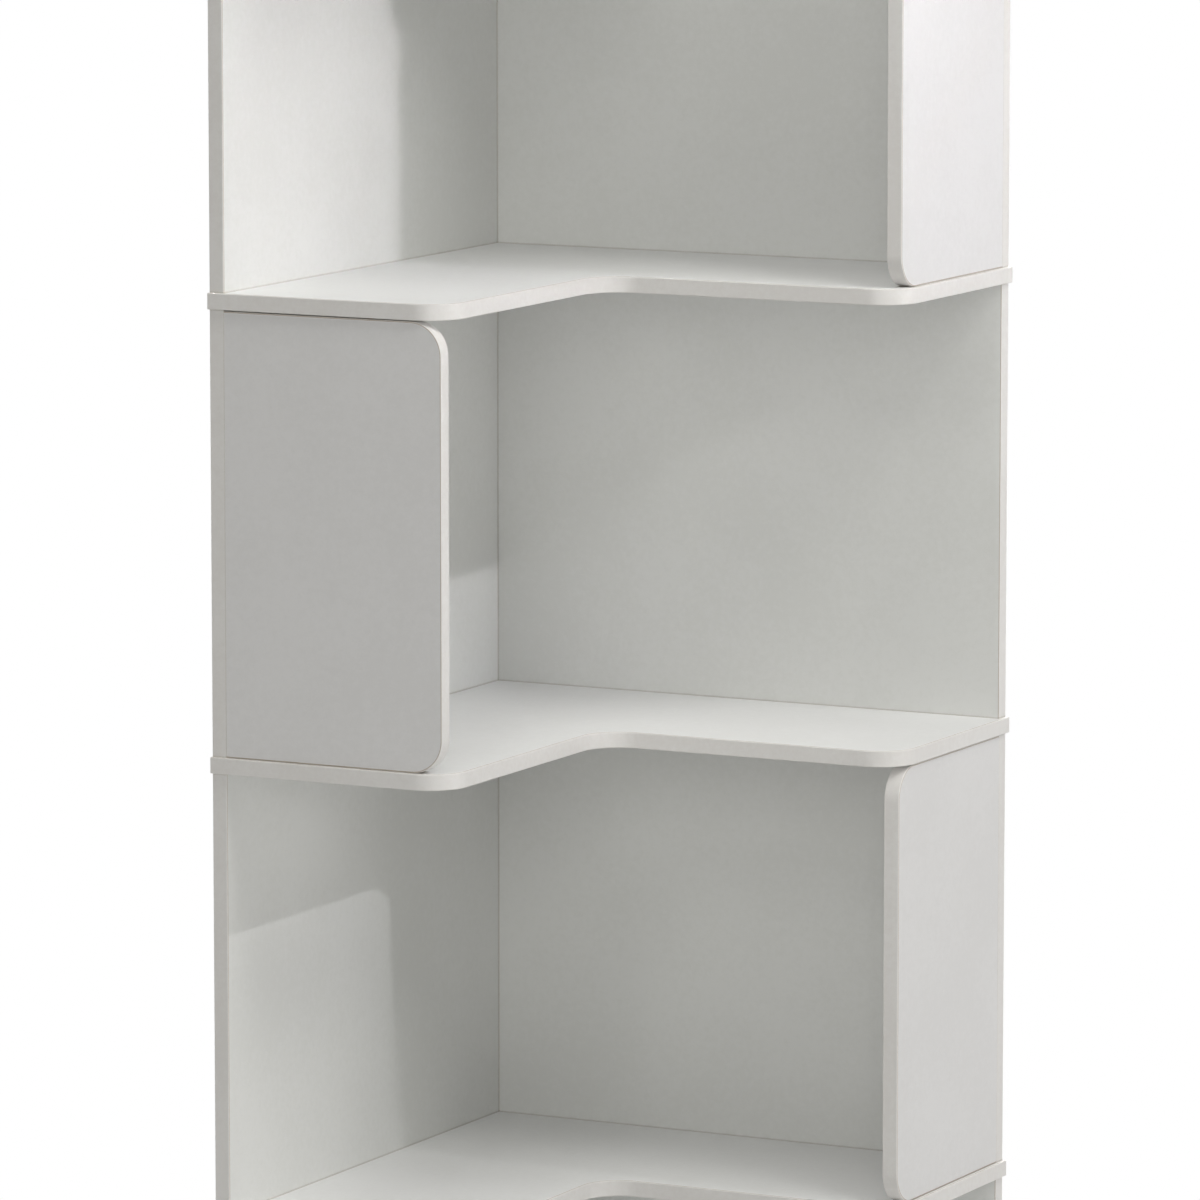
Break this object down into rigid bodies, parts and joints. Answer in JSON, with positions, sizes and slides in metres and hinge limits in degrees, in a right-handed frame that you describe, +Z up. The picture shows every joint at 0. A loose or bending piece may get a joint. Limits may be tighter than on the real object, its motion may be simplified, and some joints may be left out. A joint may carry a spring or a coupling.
{
  "type": "corner shelf unit",
  "caption": "Free-standing L-shaped corner shelf unit in white board: open bays between through shelves, each closed at one end by a rounded panel that changes sides.",
  "frame": {"origin": "on the floor, under the middle of the square that the unit fills in plan", "axes": "+Z up; the room corner is at -X +Y, the right wing runs along +X and the left wing along -Y"},
  "size_m": [0.44, 0.44, 1.717],
  "materials": {
    "white_board": "white melamine-faced chipboard, satin",
    "edge_band": "white plastic edge band, satin",
    "beech_dowel": "plain beech",
    "plated_steel": "zinc-plated steel",
    "zinc_cam": "die-cast zinc, dull",
    "glide_plastic": "moulded plastic, matt"
  },
  "bodies": {
    "root": {"back_wall_1": "white_board", "back_wall_1_edge_band": "edge_band", "back_wall_2": "white_board", "back_wall_2_edge_band": "edge_band", "back_wall_3": "white_board", "back_wall_3_edge_band": "edge_band", "back_wall_4": "white_board", "back_wall_4_edge_band": "edge_band", "back_wall_5": "white_board", "back_wall_5_edge_band": "edge_band", "base_shelf": "white_board", "base_shelf_edge_band": "edge_band", "blind_dowels": "beech_dowel", "cam_locks": "zinc_cam", "corner_screws": "plated_steel", "double_ended_bolts": "plated_steel", "end_bolts": "plated_steel", "glides": "glide_plastic", "left_end_panel_1": "white_board", "left_end_panel_1_edge_band": "edge_band", "left_end_panel_3": "white_board", "left_end_panel_3_edge_band": "edge_band", "left_end_panel_5": "white_board", "left_end_panel_5_edge_band": "edge_band", "left_wall_1": "white_board", "left_wall_1_edge_band": "edge_band", "left_wall_2": "white_board", "left_wall_2_edge_band": "edge_band", "left_wall_3": "white_board", "left_wall_3_edge_band": "edge_band", "left_wall_4": "white_board", "left_wall_4_edge_band": "edge_band", "left_wall_5": "white_board", "left_wall_5_edge_band": "edge_band", "panel_screws": "plated_steel", "right_end_panel_2": "white_board", "right_end_panel_2_edge_band": "edge_band", "right_end_panel_4": "white_board", "right_end_panel_4_edge_band": "edge_band", "shelf_2": "white_board", "shelf_2_edge_band": "edge_band", "shelf_3": "white_board", "shelf_3_edge_band": "edge_band", "shelf_4": "white_board", "shelf_4_edge_band": "edge_band", "shelf_5": "white_board", "shelf_5_edge_band": "edge_band", "through_dowels": "beech_dowel", "top_shelf": "white_board", "top_shelf_edge_band": "edge_band"}
  },
  "joints": []
}
